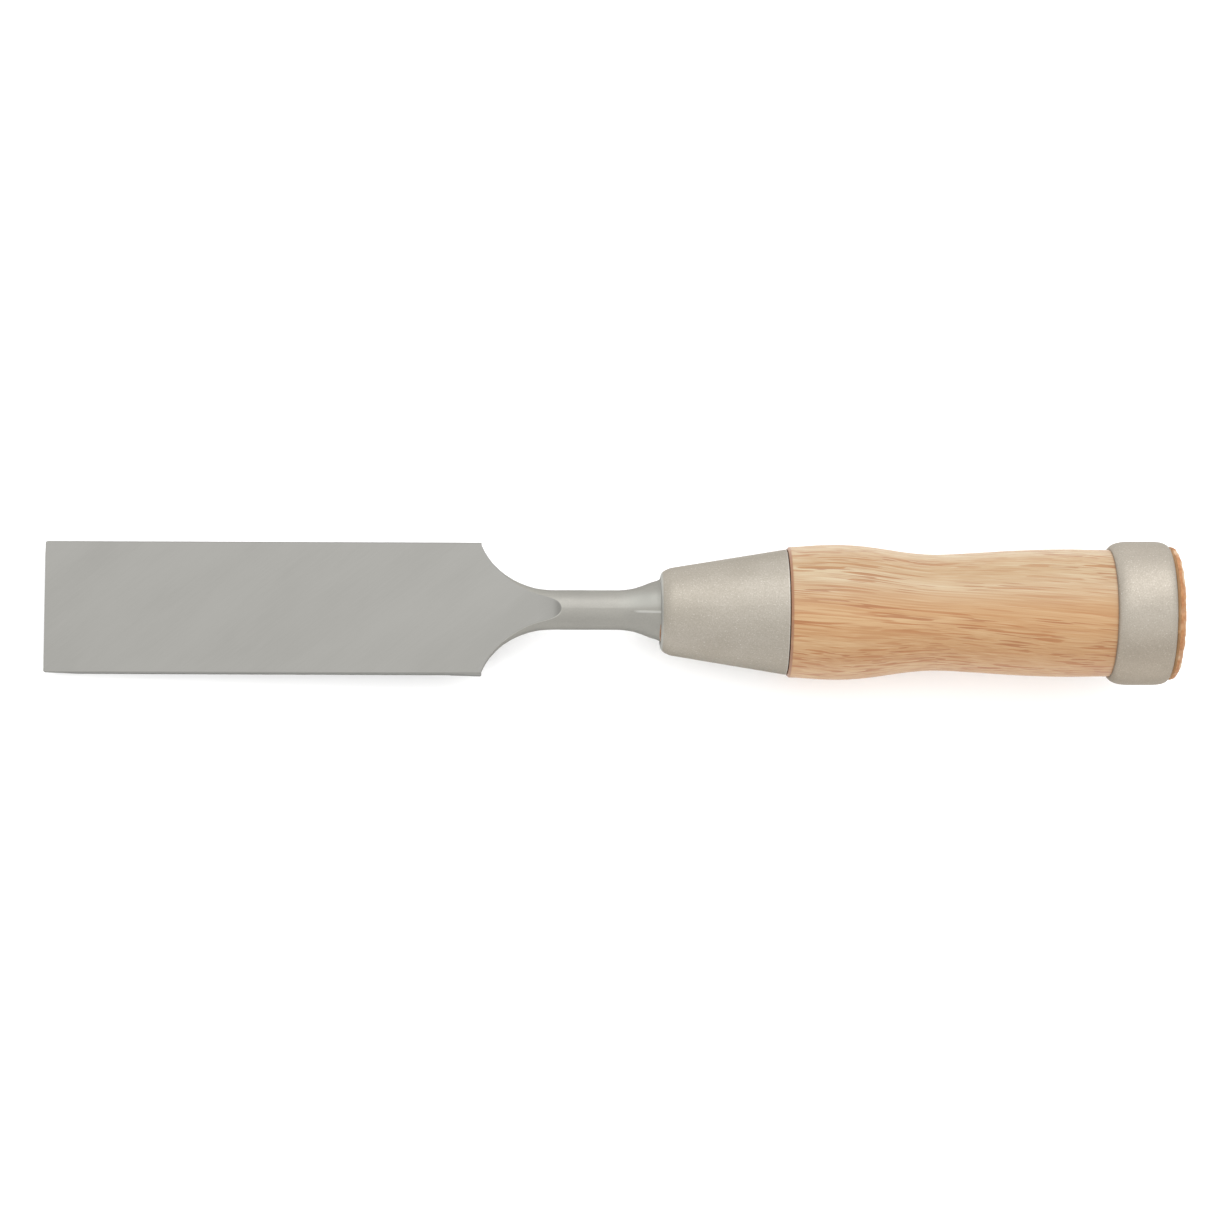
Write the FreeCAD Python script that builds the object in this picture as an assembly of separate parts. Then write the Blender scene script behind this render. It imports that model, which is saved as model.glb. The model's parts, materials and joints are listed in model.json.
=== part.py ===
import FreeCAD, Part
import math
import os

# A mortise chisel lying on a bench with its flat back up.  All lengths are in millimetres.
#
# The pieces are drawn in the tool's own frame: +X runs along the handle's axis from the
# cutting edge (X = 0) to the butt, +Y runs across the blade, and +Z points out of the
# blade's flat back.  The finished tool is then tipped until its underside rests on Z = 0,
# and the middle of its footprint is moved to the origin.

Vector = FreeCAD.Vector
X_AXIS = Vector(1, 0, 0)
Y_AXIS = Vector(0, 1, 0)
Z_AXIS = Vector(0, 0, 1)

# Blade: a ground slab with a sharpened end
BLADE_WIDTH = 32.0
BLADE_LENGTH = 105.65       # cutting edge to shoulder
BACK_HEIGHT = 3.9           # flat back above the handle's axis
HEEL_THICKNESS = 4.0        # where the bevel starts
SHOULDER_THICKNESS = 5.4
BEVEL_ANGLE = 25.0
HONE_ANGLE = 30.0
HONE_LENGTH = 0.9
EDGE_BREAK = 0.25
CORNER_RADIUS = 0.45        # rounding of the two cutting corners
EAR_START = 98.0            # the shoulder's -Y corner stands a little proud of the side
EAR_PROUD = 0.25
EAR_BURIED = 1.0            # how far its wedge reaches into the blade

# Shank: the fan behind the blade, the round neck and the flare that meets the ferrule
NECK_RADIUS = 4.85
FAN_LENGTH_RADIUS = 18.15   # the fan's concave sweep in plan is part of an ellipse
FAN_WIDTH_RADIUS = 15.75
FAN_SWEEP = 71.0            # degrees of that sweep
FAN_STEPS = 9
FAN_SQUARENESS = 0.0178     # how fast the sections turn from round to square, per mm squared
QUARTER_STEPS = 8           # points along a quarter of a section
RUNOUT_RADIUS = 16.2        # where the ground back climbs out of the neck
RUNOUT_START = 119.5
NECK_SHARES = (0.15, 0.4, 0.7, 0.9)     # where the round neck gets its sections
FLARE_START = 138.75
FLARE_ARC_RADIUS = 17.0
FLARE_SLOPE = 21.06         # degrees
FLARE_STEPS = 5
SHANK_OFFSET = 0.35         # the forging sits this far to +Y of the handle's axis
SEAM_START = 142.0          # forging seam along the flare
SEAM_HEIGHT = 0.12
SEAM_WIDTH_ANGLE = 2.2
SEAM_ANGLE = 9.5            # from +Z towards -Y; a second seam lies opposite

# Tang, and the register that centres its root in the ferrule's mouth
REGISTER_RADIUS = 7.2
REGISTER_BURIED = 0.5       # length inside the flare
TANG_LENGTH = 60.0
TANG_ROOT = 7.0
TANG_TIP = 3.5

# Ferrule: a drawn cone with an in-turned nose
FERRULE_START = 149.2
FERRULE_LENGTH = 30.85
FERRULE_WALL = 1.3
MOUTH_RADIUS = 8.15
NOSE_FACE_RADIUS = 8.45
NOSE_RADIUS = 10.85         # where the nose's rounding meets the cone
NOSE_DEPTH = 3.4
NOSE_SHARES = ((0.18, 0.53), (0.47, 0.78))   # the rounding's points, along and outwards
RIM_RADIUS = 15.36
RIM_ROUNDING = 0.35

# Handle
SHOULDER_GAP = 0.12         # between the ferrule's rim and the wood's shoulder
SHOULDER_ROUNDING = 0.55
SHOULDER_RADIUS = 15.95
BARREL_X = 191.9
BARREL_RADIUS = 16.5
WAIST_X = 216.4
WAIST_RADIUS = 14.2
SWELL_X = 249.4
SWELL_RADIUS = 15.62
SWELL_STEPS = 6             # outline points along each swell of the grip
BARREL_LEAD = 0.8           # under 1, a swell starts sooner; over 1, later
WAIST_LEAD = 1.08
SWELL_LEAD = 0.8
SEAT_LEAD = 1.0
SLIVER_REACH = 0.45         # wood squeezed out of the ferrule's mouth
SLIVER_FROM = 30.0          # degrees from +Z towards -Y
SLIVER_TO = 72.0
SLIVER_CLEARANCE = 0.03     # to the forging

# Striking hoop and the mushroomed butt above it
HOOP_START = 259.0
HOOP_WIDTH = 14.25
HOOP_RADIUS = 17.57
HOOP_SEAT_RADIUS = 15.0
FRONT_LIP = (5.4, 1.92)     # length along the axis, height
REAR_LIP = (4.0, 1.25)
LIP_POLES = ((0, 0), (0, 0.35), (0.2, 0.9), (0.55, 1), (1, 1))   # shares of the length and the height
SEAT_SHOULDER_RADIUS = 15.5
BUTT_RADIUS = 16.3
BUTT_LENGTH = 2.37
BUTT_UNDERCUT = 0.2         # the butt is this much narrower where it leaves the hoop
BUTT_ROUNDING = 1.5
BUTT_DOME = 0.8

FERRULE_END = FERRULE_START + FERRULE_LENGTH
BOLSTER_FACE = FERRULE_START + FERRULE_WALL
HOOP_END = HOOP_START + HOOP_WIDTH
NECK_START = BLADE_LENGTH + FAN_LENGTH_RADIUS * math.sin(math.radians(FAN_SWEEP))
HEEL_X = HONE_LENGTH + (HEEL_THICKNESS - HONE_LENGTH * math.tan(math.radians(HONE_ANGLE))) / math.tan(
    math.radians(BEVEL_ANGLE))
HEEL_Z = BACK_HEIGHT - HEEL_THICKNESS


def smooth(share):
    """Ease from 0 to 1 with level ends."""
    return share * share * (3 - 2 * share)


def blend(first, last, share):
    return first + (last - first) * share


def point(x, radius):
    """A point of a profile that is turned about the X axis."""
    return Vector(x, 0, radius)


def line(start, end):
    return Part.makeLine(start, end)


def arc(start, middle, end):
    return Part.Arc(start, middle, end).toShape()


def lip(foot, length, height):
    """A soft lip from its foot up to its crown, which it meets almost without curvature."""
    poles = []
    for along, up in LIP_POLES:
        poles.append(foot + Vector(length * along, 0, height * up))
    curve = Part.BezierCurve()
    curve.setPoles(poles)
    return curve.toShape()


def turned(edges, angle=360.0):
    """Turn a closed profile in the XZ plane about the X axis."""
    face = Part.Face(Part.Wire(edges))
    solid = face.revolve(Vector(0, 0, 0), X_AXIS, angle)
    return solid


def polygon(points):
    """The closed chain of straight edges through points."""
    edges = []
    for start, end in zip(points, points[1:] + points[:1]):
        edges.append(line(start, end))
    return edges


def prism(points, direction):
    return Part.Face(Part.Wire(polygon(points))).extrude(direction)


def blade_slab():
    """The flat blade with its bevel, honed edge and broken long edges."""
    half = BLADE_WIDTH / 2
    hone_drop = HONE_LENGTH * math.tan(math.radians(HONE_ANGLE))
    side_view = [
        Vector(0, -half, BACK_HEIGHT),
        Vector(HONE_LENGTH, -half, BACK_HEIGHT - hone_drop),
        Vector(HEEL_X, -half, HEEL_Z),
        Vector(BLADE_LENGTH, -half, BACK_HEIGHT - SHOULDER_THICKNESS),
        Vector(BLADE_LENGTH, -half, BACK_HEIGHT),
    ]
    slab = prism(side_view, Vector(0, BLADE_WIDTH, 0))
    under_edges = []
    for edge in slab.Edges:
        low = edge.BoundBox
        is_under = low.XMin > HEEL_X - 0.01 and low.ZMax < HEEL_Z + 0.01 and low.YLength < 0.01
        if is_under and low.XLength > 1:
            under_edges.append(edge)
    slab = slab.makeChamfer(EDGE_BREAK, under_edges)
    return slab.common(plan_blank())


def plan_blank():
    """The blade's outline in plan, with rounded cutting corners and the back's edges broken."""
    half = BLADE_WIDTH / 2
    top = BACK_HEIGHT
    section = [
        Vector(0, -half, -SHOULDER_THICKNESS),
        Vector(0, half, -SHOULDER_THICKNESS),
        Vector(0, half, top - EDGE_BREAK),
        Vector(0, half - EDGE_BREAK, top),
        Vector(0, -half + EDGE_BREAK, top),
        Vector(0, -half, top - EDGE_BREAK),
    ]
    blank = prism(section, Vector(BLADE_LENGTH, 0, 0))
    cutting_corners = []
    for edge in blank.Edges:
        box = edge.BoundBox
        is_upright = box.XLength < 0.01 and box.YLength < 0.01
        if is_upright and box.XMax < 0.01:
            cutting_corners.append(edge)
    return blank.makeFillet(CORNER_RADIUS, cutting_corners)


def shoulder_ear():
    """The low wedge that makes the shoulder's -Y corner stand proud of the blade's side."""
    side = -BLADE_WIDTH / 2
    low = BACK_HEIGHT - SHOULDER_THICKNESS
    inner = side + EAR_BURIED
    corners = [
        Vector(EAR_START, side, low),
        Vector(BLADE_LENGTH - EDGE_BREAK, side - EAR_PROUD, low),
        Vector(BLADE_LENGTH, side - EAR_PROUD + EDGE_BREAK, low),
        Vector(BLADE_LENGTH, inner, low),
        Vector(EAR_START, inner, low),
    ]
    return prism(corners, Vector(0, 0, SHOULDER_THICKNESS - EDGE_BREAK))


def superellipse_reach(turn, squareness):
    """Distance from the centre to a superellipse of half-width and half-height 1, at an angle."""
    across = abs(math.cos(turn)) ** squareness
    up = abs(math.sin(turn)) ** squareness
    return (across + up) ** (-1 / squareness)


def forged_section(x, half_width, low, high, squareness):
    """One closed section of the forging: a superellipse, from round (2) to nearly square."""
    middle = (low + high) / 2
    half_height = (high - low) / 2
    quarter_turn = math.radians(90)
    edges = []
    for quarter in range(4):
        points = []
        shares = []
        for step in range(QUARTER_STEPS + 1):
            share = step / QUARTER_STEPS
            turn = quarter_turn * (quarter + share)
            reach = superellipse_reach(turn, squareness)
            across = half_width * reach * math.cos(turn)
            up = half_height * reach * math.sin(turn)
            points.append(Vector(x, across, middle + up))
            shares.append(share)
        tangents = []
        for turn in (quarter_turn * quarter, quarter_turn * (quarter + 1)):
            tangents.append(Vector(0, -half_width * math.sin(turn), half_height * math.cos(turn)))
        curve = Part.BSplineCurve()
        curve.interpolate(Points=points, Parameters=shares, Scale=False,
                          InitialTangent=tangents[0] * quarter_turn,
                          FinalTangent=tangents[1] * quarter_turn)
        edges.append(curve.toShape())
    return Part.Wire(edges)


def flare_radius(x):
    """Radius of the neck and the flare at x."""
    slope = math.radians(FLARE_SLOPE)
    arc_end = FLARE_START + FLARE_ARC_RADIUS * math.sin(slope)
    if x <= FLARE_START:
        return NECK_RADIUS
    if x <= arc_end:
        turn = math.asin((x - FLARE_START) / FLARE_ARC_RADIUS)
        return NECK_RADIUS + FLARE_ARC_RADIUS * (1 - math.cos(turn))
    arc_rise = FLARE_ARC_RADIUS * (1 - math.cos(slope))
    return NECK_RADIUS + arc_rise + (x - arc_end) * math.tan(slope)


def shank_stations():
    """Where the neck and the flare get a section, from the neck's start to the ferrule."""
    slope = math.radians(FLARE_SLOPE)
    arc_end = FLARE_START + FLARE_ARC_RADIUS * math.sin(slope)
    stations = [blend(NECK_START, FLARE_START, share) for share in NECK_SHARES]
    stations += [blend(FLARE_START, arc_end, step / FLARE_STEPS) for step in range(FLARE_STEPS + 1)]
    stations += [blend(arc_end, FERRULE_START, 0.5), FERRULE_START]
    return stations


def shank():
    """The forged fan that narrows from the shoulder to the round neck, and the flare after it."""
    sections = []
    for step in range(FAN_STEPS + 1):
        angle = math.radians(FAN_SWEEP * (1 - step / FAN_STEPS))
        back = FAN_LENGTH_RADIUS * math.sin(angle)
        half_width = NECK_RADIUS + FAN_WIDTH_RADIUS * (1 - math.cos(angle))
        share = smooth(back / (NECK_START - BLADE_LENGTH))
        low = blend(-NECK_RADIUS, BACK_HEIGHT - SHOULDER_THICKNESS, share)
        squareness = 2 + FAN_SQUARENESS * back ** 2
        sections.append(forged_section(NECK_START - back, half_width, low, NECK_RADIUS, squareness))
    for x in shank_stations():
        radius = flare_radius(x)
        sections.append(forged_section(x, radius, -radius, radius, 2))
    return Part.makeLoft(sections, True, False)


def register():
    """The short cylinder that runs from inside the flare through the ferrule's mouth."""
    start = Vector(FERRULE_START - REGISTER_BURIED, 0, 0)
    return Part.makeCylinder(REGISTER_RADIUS, REGISTER_BURIED + FERRULE_WALL, start, X_AXIS)


def seam(angle):
    """One narrow ridge along the flare, where the forging dies met."""
    slope = math.radians(FLARE_SLOPE)
    arc_end = FLARE_START + FLARE_ARC_RADIUS * math.sin(slope)
    arc_middle = blend(SEAM_START, arc_end, 0.5)
    core = 2.0
    crest = []
    for x in (SEAM_START, arc_middle, arc_end, FERRULE_START):
        crest.append(point(x, flare_radius(x) + SEAM_HEIGHT))
    edges = [
        line(point(SEAM_START, core), crest[0]),
        arc(crest[0], crest[1], crest[2]),
        line(crest[2], crest[3]),
        line(crest[3], point(FERRULE_START, core)),
        line(point(FERRULE_START, core), point(SEAM_START, core)),
    ]
    ridge = turned(edges, SEAM_WIDTH_ANGLE)
    ridge.rotate(Vector(0, 0, 0), X_AXIS, angle - SEAM_WIDTH_ANGLE / 2)
    return ridge


def back_cutter():
    """The space above the ground back, ending in the run-out that climbs out of the neck."""
    margin = 2.0
    ceiling = 12.0
    exit_height = NECK_RADIUS + 0.8
    centre = Vector(RUNOUT_START, 0, BACK_HEIGHT + RUNOUT_RADIUS)
    sweep = math.acos(1 - (exit_height - BACK_HEIGHT) / RUNOUT_RADIUS)
    middle = centre + Vector(math.sin(sweep / 2), 0, -math.cos(sweep / 2)) * RUNOUT_RADIUS
    end = centre + Vector(math.sin(sweep), 0, -math.cos(sweep)) * RUNOUT_RADIUS
    corner = Vector(-margin, 0, BACK_HEIGHT)
    runout = Vector(RUNOUT_START, 0, BACK_HEIGHT)
    edges = [
        line(corner, runout),
        arc(runout, middle, end),
        line(end, Vector(end.x, 0, ceiling)),
        line(Vector(end.x, 0, ceiling), Vector(-margin, 0, ceiling)),
        line(Vector(-margin, 0, ceiling), corner),
    ]
    cutter = Part.Face(Part.Wire(edges)).extrude(Vector(0, 2 * BLADE_WIDTH, 0))
    cutter.translate(Vector(0, -BLADE_WIDTH, 0))
    return cutter


def tang():
    """The square tapered tang that is driven into the handle."""
    wires = []
    for x, side in ((BOLSTER_FACE, TANG_ROOT), (BOLSTER_FACE + TANG_LENGTH, TANG_TIP)):
        half = side / 2
        corners = [
            Vector(x, -half, -half),
            Vector(x, half, -half),
            Vector(x, half, half),
            Vector(x, -half, half),
        ]
        wires.append(Part.Wire(polygon(corners)))
    return Part.makeLoft(wires, True, True)


def blade():
    """The whole forging: blade, fan, neck, flare and tang."""
    ground = shank().cut(back_cutter())
    body = blade_slab().fuse([shoulder_ear(), ground, register(), tang()])
    body = body.fuse([seam(SEAM_ANGLE), seam(SEAM_ANGLE + 180)])
    solid = body.Solids[0]
    solid.translate(Vector(0, SHANK_OFFSET, 0))
    return solid


def cone_radius(x):
    """The ferrule's outer cone."""
    nose_x = FERRULE_START + NOSE_DEPTH
    return blend(NOSE_RADIUS, RIM_RADIUS, (x - nose_x) / (FERRULE_END - nose_x))


def ferrule():
    """A conical cup with an in-turned nose and a hole for the shank."""
    nose_x = FERRULE_START + NOSE_DEPTH
    cone_slope = (RIM_RADIUS - NOSE_RADIUS) / (FERRULE_END - nose_x)
    nose_start = point(FERRULE_START, NOSE_FACE_RADIUS)
    nose_end = point(nose_x, NOSE_RADIUS)
    rounding = [nose_start]
    for along, outwards in NOSE_SHARES:
        x = blend(FERRULE_START, nose_x, along)
        rounding.append(point(x, blend(NOSE_FACE_RADIUS, NOSE_RADIUS, outwards)))
    rounding.append(nose_end)
    curve = Part.BSplineCurve()
    curve.interpolate(Points=rounding, InitialTangent=Vector(0.15, 0, 1),
                      FinalTangent=Vector(1, 0, cone_slope))
    rim_start = point(FERRULE_END - RIM_ROUNDING, cone_radius(FERRULE_END - RIM_ROUNDING))
    rim_bulge = RIM_ROUNDING * (1 - math.sqrt(0.5))
    rim_middle = point(FERRULE_END - rim_bulge, RIM_RADIUS - rim_bulge)
    rim_end = point(FERRULE_END, RIM_RADIUS - RIM_ROUNDING)
    bore_rim = point(FERRULE_END, cone_radius(FERRULE_END) - FERRULE_WALL)
    bore_nose = point(BOLSTER_FACE, cone_radius(BOLSTER_FACE) - FERRULE_WALL)
    edges = [
        curve.toShape(),
        line(nose_end, rim_start),
        arc(rim_start, rim_middle, rim_end),
        line(rim_end, bore_rim),
        line(bore_rim, bore_nose),
        line(bore_nose, point(BOLSTER_FACE, MOUTH_RADIUS)),
        line(point(BOLSTER_FACE, MOUTH_RADIUS), point(FERRULE_START, MOUTH_RADIUS)),
        line(point(FERRULE_START, MOUTH_RADIUS), nose_start),
    ]
    return turned(edges)


def wave(start, end, share, lead):
    """Radius along one swell of the grip, level at both ends."""
    return blend(start, end, (1 - math.cos(math.pi * share ** lead)) / 2)


def grip_curve():
    """The grip's turned outline: barrel, waist and swell, up to the hoop."""
    start_x = FERRULE_END + SHOULDER_GAP + SHOULDER_ROUNDING
    swells = [
        (start_x, SHOULDER_RADIUS, BARREL_X, BARREL_RADIUS, BARREL_LEAD),
        (BARREL_X, BARREL_RADIUS, WAIST_X, WAIST_RADIUS, WAIST_LEAD),
        (WAIST_X, WAIST_RADIUS, SWELL_X, SWELL_RADIUS, SWELL_LEAD),
        (SWELL_X, SWELL_RADIUS, HOOP_START, SEAT_SHOULDER_RADIUS, SEAT_LEAD),
    ]
    points = []
    for start, start_radius, end, end_radius, lead in swells:
        for step in range(SWELL_STEPS):
            share = step / SWELL_STEPS
            points.append(point(blend(start, end, share), wave(start_radius, end_radius, share, lead)))
    points.append(point(HOOP_START, SEAT_SHOULDER_RADIUS))
    curve = Part.BSplineCurve()
    curve.interpolate(points)
    return curve.toShape()


def handle_body():
    """The turned wood without the hole for the tang."""
    shoulder_x = FERRULE_END + SHOULDER_GAP
    bore_rim = point(FERRULE_END, cone_radius(FERRULE_END) - FERRULE_WALL)
    bore_nose = point(BOLSTER_FACE, cone_radius(BOLSTER_FACE) - FERRULE_WALL)
    neck_step = point(shoulder_x, bore_rim.z)
    face_edge = point(shoulder_x, SHOULDER_RADIUS - SHOULDER_ROUNDING)
    bulge = SHOULDER_ROUNDING * (1 - math.sqrt(0.5))
    corner = point(shoulder_x + bulge, SHOULDER_RADIUS - bulge)
    grip_start = point(shoulder_x + SHOULDER_ROUNDING, SHOULDER_RADIUS)
    grip_end = point(HOOP_START, SEAT_SHOULDER_RADIUS)
    seat_start = point(HOOP_START, HOOP_SEAT_RADIUS)
    seat_end = point(HOOP_END, HOOP_SEAT_RADIUS)
    butt_inner = point(HOOP_END, BUTT_RADIUS - BUTT_UNDERCUT)
    butt_x = HOOP_END + BUTT_LENGTH
    butt_side = point(butt_x - BUTT_ROUNDING, BUTT_RADIUS)
    butt_bulge = BUTT_ROUNDING * (1 - math.sqrt(0.5))
    butt_corner = point(butt_x - butt_bulge, BUTT_RADIUS - butt_bulge)
    butt_face = point(butt_x, BUTT_RADIUS - BUTT_ROUNDING)
    dome_radius = (butt_face.z ** 2 + BUTT_DOME ** 2) / (2 * BUTT_DOME)
    dome_half_angle = math.asin(butt_face.z / dome_radius) / 2
    dome_sag = dome_radius * (1 - math.cos(dome_half_angle))
    dome_middle = point(butt_x + BUTT_DOME - dome_sag, dome_radius * math.sin(dome_half_angle))
    dome_top = point(butt_x + BUTT_DOME, 0)
    nose_centre = point(BOLSTER_FACE, 0)
    edges = [
        line(nose_centre, bore_nose),
        line(bore_nose, bore_rim),
        line(bore_rim, neck_step),
        line(neck_step, face_edge),
        arc(face_edge, corner, grip_start),
        grip_curve(),
        line(grip_end, seat_start),
        line(seat_start, seat_end),
        line(seat_end, butt_inner),
        line(butt_inner, butt_side),
        arc(butt_side, butt_corner, butt_face),
        arc(butt_face, dome_middle, dome_top),
        line(dome_top, nose_centre),
    ]
    return turned(edges)


def mouth_sliver():
    """A sliver of wood squeezed out beside the shank through the ferrule's mouth."""
    inner = 6.0
    corners = [
        point(FERRULE_START - SLIVER_REACH, inner),
        point(BOLSTER_FACE, inner),
        point(BOLSTER_FACE, MOUTH_RADIUS),
        point(FERRULE_START - SLIVER_REACH, MOUTH_RADIUS),
    ]
    sliver = turned(polygon(corners), SLIVER_TO - SLIVER_FROM)
    sliver.rotate(Vector(0, 0, 0), X_AXIS, SLIVER_FROM)
    return sliver.cut(shank_room())


def shank_room():
    """The space that the forging takes up in the ferrule's mouth, with a little clearance."""
    margin = 1.0
    start_x = FERRULE_START - margin
    end_x = BOLSTER_FACE + margin
    mouth_room = flare_radius(FERRULE_START) + SLIVER_CLEARANCE
    corners = [
        point(start_x, 0),
        point(start_x, flare_radius(start_x) + SLIVER_CLEARANCE),
        point(FERRULE_START, mouth_room),
        point(end_x, mouth_room),
        point(end_x, 0),
    ]
    room = turned(polygon(corners))
    room.translate(Vector(0, SHANK_OFFSET, 0))
    return room


def handle():
    """The turned handle with its tang hole, and the sliver beside the shank."""
    hole = tang()
    hole.translate(Vector(0, SHANK_OFFSET, 0))
    wood = handle_body().cut(hole)
    return wood.fuse(mouth_sliver()).Solids[0]


def hoop():
    """The steel ring round the butt, with soft lips at both ends."""
    front_foot = point(HOOP_START, HOOP_RADIUS - FRONT_LIP[1])
    rear_foot = point(HOOP_END, HOOP_RADIUS - REAR_LIP[1])
    front_crown = point(HOOP_START + FRONT_LIP[0], HOOP_RADIUS)
    rear_crown = point(HOOP_END - REAR_LIP[0], HOOP_RADIUS)
    bore_start = point(HOOP_START, HOOP_SEAT_RADIUS)
    bore_end = point(HOOP_END, HOOP_SEAT_RADIUS)
    edges = [
        line(bore_start, front_foot),
        lip(front_foot, FRONT_LIP[0], FRONT_LIP[1]),
        line(front_crown, rear_crown),
        lip(rear_foot, -REAR_LIP[0], REAR_LIP[1]),
        line(rear_foot, bore_end),
        line(bore_end, bore_start),
    ]
    return turned(edges)


def rest_tilt():
    """The angle, in degrees, between the handle's axis and the bench.

    The tool touches the bench along the bevel's heel and at the rounded front shoulder of
    the wood, whose section is a small arc: the bench is the tangent from the heel to it.
    """
    centre_x = FERRULE_END + SHOULDER_GAP + SHOULDER_ROUNDING
    centre_z = -(SHOULDER_RADIUS - SHOULDER_ROUNDING)
    run = centre_x - HEEL_X
    drop = HEEL_Z - centre_z
    reach = math.hypot(run, drop)
    return math.degrees(math.atan2(drop, run) + math.asin(SHOULDER_ROUNDING / reach))


def main():
    os.makedirs("parts", exist_ok=True)
    pieces = {
        "blade": blade(),
        "ferrule": ferrule(),
        "handle": handle(),
        "hoop": hoop(),
    }
    tilt = rest_tilt()
    for shape in pieces.values():
        shape.rotate(Vector(0, 0, 0), Y_AXIS, -tilt)
    boxes = Part.makeCompound(list(pieces.values())).optimalBoundingBox(False)
    shift = Vector(-boxes.Center.x, -boxes.Center.y, -boxes.ZMin)
    for name, shape in pieces.items():
        shape.translate(shift)
        shape.exportStep(os.path.join("parts", name + ".step"))
        print(name, shape.isValid(), len(shape.Solids), round(shape.Volume, 2))
    print("tilt", round(tilt, 4), "shift", shift)
    print("size", boxes.XLength, boxes.YLength, boxes.ZLength)


main()
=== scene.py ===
from collections import namedtuple
import json
import math

import bmesh
import bpy
import numpy as np
from mathutils import Matrix, Vector, noise


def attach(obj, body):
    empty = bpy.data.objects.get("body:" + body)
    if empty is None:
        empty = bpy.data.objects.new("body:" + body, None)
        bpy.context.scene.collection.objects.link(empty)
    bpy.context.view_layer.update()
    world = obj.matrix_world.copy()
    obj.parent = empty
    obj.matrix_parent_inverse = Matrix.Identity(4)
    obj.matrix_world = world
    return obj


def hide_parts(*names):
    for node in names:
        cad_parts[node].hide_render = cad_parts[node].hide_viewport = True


# A mortise chisel on a pale bench.
# Shapes and textures are worked out in the tool's own frame: +X along the handle's axis
# from the cutting edge, +Y across the blade, +Z out of the blade's flat back.  Sizes in that
# frame are in millimetres.  The camera's and the lights' own distances are in metres.

MM = 0.001
WHITE = (1.0, 1.0, 1.0, 1.0)

# Where the record's neck mount lies in the tool's own frame
NECK_MOUNT_X = 131.0
SHANK_OFFSET = 0.35         # the forging sits this far to +Y of the handle's axis

# Camera
CAMERA_TARGET = (136.25, 1.1, 0.0)
CAMERA_DISTANCE = 0.860
CAMERA_LENS = 104.5
CAMERA_SENSOR = 36.0
CAMERA_NEAR = 0.01
CAMERA_TOWARDS_EDGE = math.radians(1.5)
CAMERA_TOWARDS_SIDE = math.radians(6.4)
CAMERA_ROLL = math.radians(0.03)

# Light: the sky's strength rises between two cosines of the angle from its bright side
SKY_LOW = 1.34
SKY_OVERHEAD = 1.68
SKY_BRIGHT_SIDE = (0.0, 0.2, 0.98)
SKY_RISE = (0.1, 0.8)
KEY_PLACE = (0.28, 0.97, 1.08)
KEY_SIZE = (1.8, 1.1)
KEY_POWER = 13.0
KEY_COLOUR = (0.99, 0.995, 1.02)
STUDIO_LEVEL = 1.64         # what a plain surface's colour is multiplied by

# Floor
FLOOR_SIZE = 6.0
FLOOR_COLOUR = (0.97, 0.97, 0.97, 1)
FLOOR_ROUGHNESS = 0.8
FLOOR_GLOSS = 0.1

# The forging
BACK_HEIGHT = 3.9
SHOULDER_X = 105.65
SHOULDER_FADE = 0.2
RUNOUT_START = 119.5
RUNOUT_RADIUS = 16.2
SEAM_START = 142.0
SEAM_FADE = 2.5
SEAM_ANGLE = math.radians(9.5)     # from +Z towards -Y

# The turned wood
GRIP_RINGS = 160
GRIP_SEGMENTS = 384
BUTT_RINGS = 44
BUTT_RIM_DEPTH = 1.45       # radial depth of the rounded rim, taken from the CAD outline
TURNED_RADIUS = 12.0        # the outline's radii are larger, and the tang's hole is smaller
TANG_HOLE = (5.05, 2.6)     # radius at the ferrule's nose and at the tang's tip
TANG_END_GAP = 0.5          # from the tang's tip to the end of its hole
FACE_EDGE = 0.25            # the shoulder's face stops this far inside the grip's first radius
HIDDEN_CLEARANCE = 0.02     # between the wood and the metal that covers it
OUTLINE_MARGIN = 0.02       # how closely a place along X is matched when the CAD is measured
NOSE_SLICE = (0.8, 1.8)     # X from the ferrule's mouth, where the wood's nose is measured
GRAIN_LEAN = math.radians(5)
SHARP_EDGE = math.radians(38)

# Relief of the wood: open pores, a slow swell, and the torn butt
GROOVE_DEPTH = 0.035
PORE_SIZE = (4.6, 0.55)     # length and width
PORE_OPENING = (0.1, 0.5)   # the noise's values at a pore's lip and floor
PORE_SHARE = 0.45           # of the groove's depth
SWELL_SIZE = (18.0, 2.5)
SWELL_SHARE = 0.2
SWELL_PLACE = 40.0          # where the swell is read, so that it doesn't follow the pores
BUTT_ROUGHNESS = 0.28
BUTT_GRAIN = 1.6
BUTT_GRAIN_PLACE = 7.3
BUTT_FRACTAL = (0.8, 2.1, 4)    # its dimension, the step between octaves, and their number
RIM_TEAR = 0.45
RIM_TEAR_REACH = 2.2        # how far in from the rim the tears go
RIM_CHIPS = 5.0             # chips round the rim, as a radius in noise
RIM_CHIP_LENGTH = 1.5
RIM_CHIP_OPENING = (0.0, 0.55)
BESIDE_HOOP = (0.3, 1.2)    # the wear starts and is full this far behind the hoop

# The sliver of wood at the ferrule's mouth
SLIVER_ANGLES = (30, 72)    # degrees from +Z towards -Y
SLIVER_REACH = 0.45
SLIVER_STEPS = 28
SLIVER_FIT = (0.04, 0.03)   # outside the shank, and inside the mouth
SLIVER_BEVEL = 0.08
SLIVER_ROOT = 0.1           # how far it reaches behind the wood's nose
SLIVER_RAGGED = (0.6, 0.4)  # its mean reach, and how much that varies
SLIVER_WAVES = 9
SLIVER_PLACE = 3.1          # where its raggedness is read in the noise
SLIVER_TAPER = 0.4          # how bluntly its two ends narrow: 0 is square, 1 is round

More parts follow.
